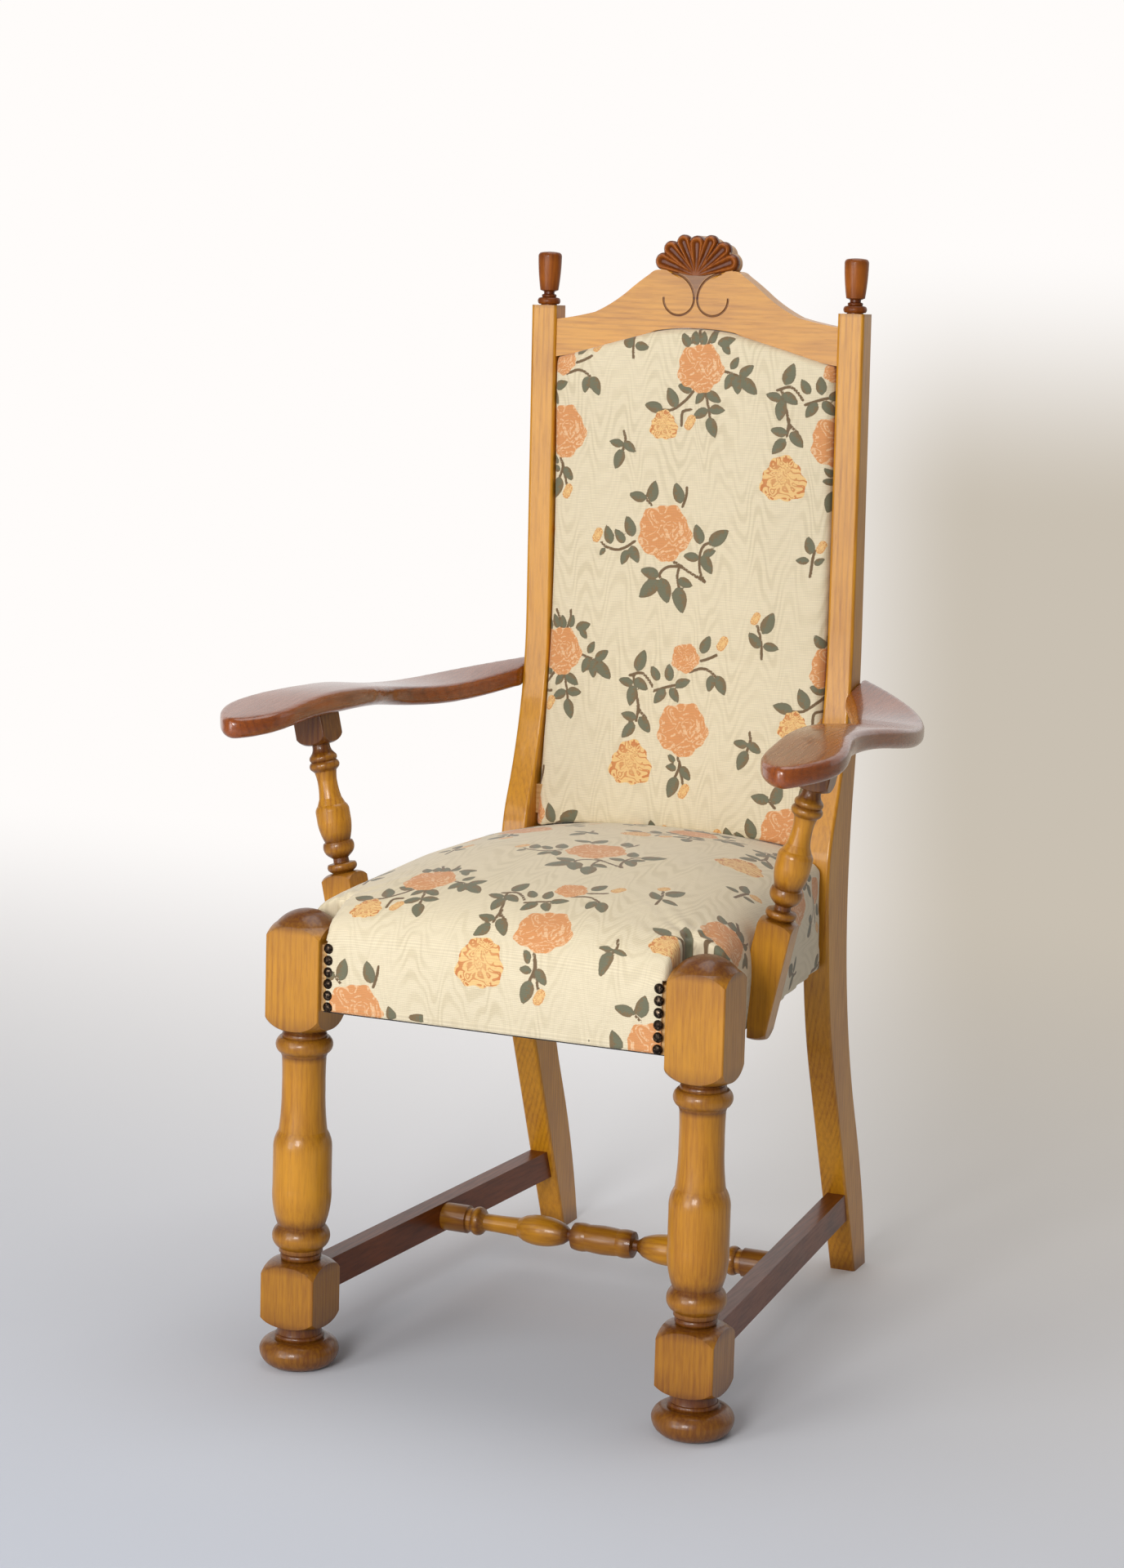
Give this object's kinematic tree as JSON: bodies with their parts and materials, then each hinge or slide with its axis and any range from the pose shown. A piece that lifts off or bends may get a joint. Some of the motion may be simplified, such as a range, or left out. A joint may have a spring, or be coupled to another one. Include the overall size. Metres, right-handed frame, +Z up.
{
  "type": "armchair",
  "caption": "High-backed upholstered armchair with turned front legs on bun feet, shaped open arms, a shell-crested back and floral tapestry covers.",
  "frame": {"origin": "on the floor under the middle of the chair's overall box", "axes": "+Z up, the front of the chair faces -Y, +X towards the sitter's left, which is the viewer's right"},
  "size_m": [0.6866, 0.684, 1.173],
  "materials": {
    "honey_wood": "satin lacquer",
    "walnut_toned_wood": "satin lacquer",
    "plain_wood": "unfinished",
    "tapestry": "woven floral tapestry",
    "stuffing": "soft stuffing",
    "lining": "plain woven cloth",
    "webbing": "jute webbing",
    "nail_brass": "aged brass",
    "screw_steel": "plain steel"
  },
  "bodies": {
    "root": {"front_leg_left": "honey_wood", "front_leg_right": "honey_wood", "bun_foot_left": "walnut_toned_wood", "bun_foot_right": "walnut_toned_wood", "back_post_left": "honey_wood", "back_post_right": "honey_wood", "finial_left": "walnut_toned_wood", "finial_right": "walnut_toned_wood", "crest_rail": "honey_wood", "back_lower_rail": "honey_wood", "front_rail": "honey_wood", "rear_rail": "honey_wood", "side_rail_left": "honey_wood", "side_rail_right": "honey_wood", "corner_block_front_left": "plain_wood", "corner_block_front_right": "plain_wood", "corner_block_rear_left": "plain_wood", "corner_block_rear_right": "plain_wood", "side_stretcher_left": "honey_wood", "side_stretcher_right": "honey_wood", "cross_stretcher": "honey_wood", "arm_left": "walnut_toned_wood", "arm_right": "walnut_toned_wood", "arm_post_left": "honey_wood", "arm_post_right": "honey_wood", "web_long_1": "webbing", "web_long_2": "webbing", "web_long_3": "webbing", "web_cross_1": "webbing", "web_cross_2": "webbing", "web_cross_3": "webbing", "seat_pad": "stuffing", "seat_cover": "tapestry", "dust_cover": "lining", "back_panel": "plain_wood", "back_pad": "stuffing", "back_cover": "tapestry", "outside_back_cover": "lining", "upholstery_nail_left_1": "nail_brass", "upholstery_nail_left_2": "nail_brass", "upholstery_nail_left_3": "nail_brass", "upholstery_nail_left_4": "nail_brass", "upholstery_nail_left_5": "nail_brass", "upholstery_nail_left_6": "nail_brass", "upholstery_nail_right_1": "nail_brass", "upholstery_nail_right_2": "nail_brass", "upholstery_nail_right_3": "nail_brass", "upholstery_nail_right_4": "nail_brass", "upholstery_nail_right_5": "nail_brass", "upholstery_nail_right_6": "nail_brass", "arm_post_screw_left_1": "screw_steel", "arm_post_screw_left_2": "screw_steel", "arm_post_screw_right_1": "screw_steel", "arm_post_screw_right_2": "screw_steel"}
  },
  "joints": []
}
